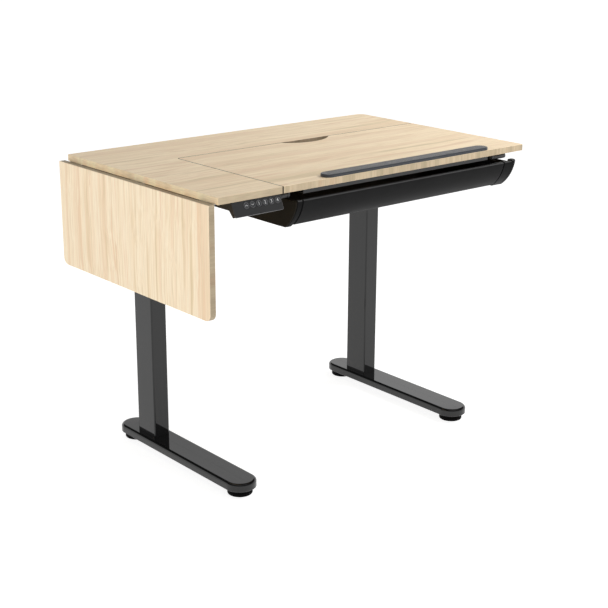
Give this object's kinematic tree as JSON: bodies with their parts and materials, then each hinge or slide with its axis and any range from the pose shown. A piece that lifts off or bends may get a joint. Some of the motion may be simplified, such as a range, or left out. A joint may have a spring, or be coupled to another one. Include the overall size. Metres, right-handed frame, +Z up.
{
  "type": "sit-stand desk with tilting panel",
  "caption": "Height-adjustable desk on two motor-lifted legs, with a tilting work panel and book stop, a hinged drop leaf, a shallow curved drawer and a button handset.",
  "frame": {"origin": "on the floor under the middle of the whole desk, drop leaf and handset included", "axes": "+X runs to the right along the long side, +Y runs back from the user, +Z is up"},
  "size_m": [1.128, 0.7052, 0.858],
  "materials": {
    "pale_wood": "satin",
    "black_steel": "gloss",
    "drawer_plastic": "satin",
    "drawer_steel": "matt",
    "handset_plastic": "satin",
    "handset_shell": "matt",
    "button_plastic": "satin",
    "stop_rubber": "ribbed",
    "zinc_steel": "zinc plated",
    "nut_brass": "machined",
    "glide_plastic": "smooth",
    "pad_plastic": "smooth",
    "box_plastic": "fine grain"
  },
  "bodies": {
    "base": {"foot_left": "black_steel", "foot_right": "black_steel", "column_outer_left": "black_steel", "column_outer_right": "black_steel", "column_collars": "glide_plastic", "nut_tubes": "zinc_steel", "lifting_nuts": "nut_brass", "levelling_pads": "pad_plastic", "levelling_studs": "zinc_steel"},
    "lift_frame": {"fixed_board": "pale_wood", "column_inner_left": "black_steel", "column_inner_right": "black_steel", "lower_glides": "glide_plastic", "gear_housing_left": "black_steel", "gear_housing_right": "black_steel", "motor": "black_steel", "crossbeam": "black_steel", "side_brackets": "black_steel", "outriggers": "black_steel", "left_side_rail": "black_steel", "tilt_arm_left": "black_steel", "tilt_arm_right": "black_steel", "hinge_blocks": "black_steel", "hinge_pins": "zinc_steel", "slide_hangers": "black_steel", "slide_outer_members": "drawer_steel", "handset_body": "handset_shell", "handset_plate": "handset_plastic", "control_box": "box_plastic", "power_inlet": "box_plastic", "leaf_hinge_fixed_halves": "zinc_steel", "leaf_hinge_pins": "zinc_steel", "board_screws": "zinc_steel"},
    "tilt_panel": {"tilt_board": "pale_wood", "panel_rail": "black_steel", "panel_brackets": "black_steel", "book_stop": "stop_rubber"},
    "prop": {"prop_bars": "black_steel", "prop_rods": "zinc_steel", "prop_rollers": "glide_plastic"},
    "drawer": {"drawer_tray": "drawer_steel", "drawer_front": "drawer_plastic", "drawer_cap_left": "drawer_plastic", "drawer_cap_right": "drawer_plastic", "slide_inner_members": "drawer_steel"},
    "drawer_middle_slides": {"slide_middle_members": "drawer_steel"},
    "leaf": {"leaf_board": "pale_wood", "leaf_hinge_moving_halves": "zinc_steel"},
    "spindle_left_body": {"spindle_left": "zinc_steel"},
    "spindle_right_body": {"spindle_right": "zinc_steel"},
    "drive_shaft_body": {"drive_shaft": "zinc_steel"},
    "button_1_body": {"button_1": "button_plastic"},
    "button_2_body": {"button_2": "button_plastic"},
    "button_3_body": {"button_3": "button_plastic"},
    "button_4_body": {"button_4": "button_plastic"},
    "button_5_body": {"button_5": "button_plastic"},
    "button_6_body": {"button_6": "button_plastic"}
  },
  "joints": [
    {"name": "lift", "type": "slide", "parent": "base", "child": "lift_frame", "axis": [0, 0, 1], "range_m": [-0.125, 0.35]},
    {"name": "spindle_left_spin", "type": "hinge", "parent": "lift_frame", "child": "spindle_left_body", "pos_m": [-0.3965, 0.17857, 0.7], "axis": [0, 0, 1], "range_deg": [-4505, 12605]},
    {"name": "spindle_right_spin", "type": "hinge", "parent": "lift_frame", "child": "spindle_right_body", "pos_m": [0.4215, 0.17857, 0.7], "axis": [0, 0, 1], "range_deg": [-4505, 12605]},
    {"name": "drive_shaft_spin", "type": "hinge", "parent": "lift_frame", "child": "drive_shaft_body", "pos_m": [0.014, 0.17857, 0.806], "axis": [1, 0, 0], "range_deg": [-4505, 12605]},
    {"name": "panel_tilt", "type": "hinge", "parent": "lift_frame", "child": "tilt_panel", "pos_m": [0.014, -0.32543, 0.824], "axis": [1, 0, 0], "range_deg": [0, 45]},
    {"name": "prop_fold", "type": "hinge", "parent": "tilt_panel", "child": "prop", "pos_m": [0.064, -0.12543, 0.824], "axis": [1, 0, 0], "range_deg": [-90.5, 0.5]},
    {"name": "drawer_slide", "type": "slide", "parent": "lift_frame", "child": "drawer", "axis": [0, -1, 0], "range_m": [0, 0.25]},
    {"name": "drawer_middle_slide", "type": "slide", "parent": "lift_frame", "child": "drawer_middle_slides", "axis": [0, -1, 0], "range_m": [0, 0.1251]},
    {"name": "leaf_fold", "type": "hinge", "parent": "lift_frame", "child": "leaf", "pos_m": [-0.543, 0.00757, 0.829], "axis": [0, 1, 0], "range_deg": [0, 90]},
    {"name": "button_1_press", "type": "slide", "parent": "lift_frame", "child": "button_1_body", "axis": [0, 0.9063, -0.4226], "range_m": [0, 0.0008], "stiffness_N_per_m": 800},
    {"name": "button_2_press", "type": "slide", "parent": "lift_frame", "child": "button_2_body", "axis": [0, 0.9063, -0.4226], "range_m": [0, 0.0008], "stiffness_N_per_m": 800},
    {"name": "button_3_press", "type": "slide", "parent": "lift_frame", "child": "button_3_body", "axis": [0, 0.9063, -0.4226], "range_m": [0, 0.0008], "stiffness_N_per_m": 800},
    {"name": "button_4_press", "type": "slide", "parent": "lift_frame", "child": "button_4_body", "axis": [0, 0.9063, -0.4226], "range_m": [0, 0.0008], "stiffness_N_per_m": 800},
    {"name": "button_5_press", "type": "slide", "parent": "lift_frame", "child": "button_5_body", "axis": [0, 0.9063, -0.4226], "range_m": [0, 0.0008], "stiffness_N_per_m": 800},
    {"name": "button_6_press", "type": "slide", "parent": "lift_frame", "child": "button_6_body", "axis": [0, 0.9063, -0.4226], "range_m": [0, 0.0008], "stiffness_N_per_m": 800}
  ],
  "couplings": [
    {"joint": "spindle_left_spin", "follows": "lift", "rad_per_m": 628.32},
    {"joint": "spindle_right_spin", "follows": "lift", "rad_per_m": 628.32},
    {"joint": "drive_shaft_spin", "follows": "lift", "rad_per_m": 628.32},
    {"joint": "prop_fold", "follows": "panel_tilt", "ratio": -2},
    {"joint": "drawer_middle_slide", "follows": "drawer_slide", "ratio": 0.5}
  ]
}
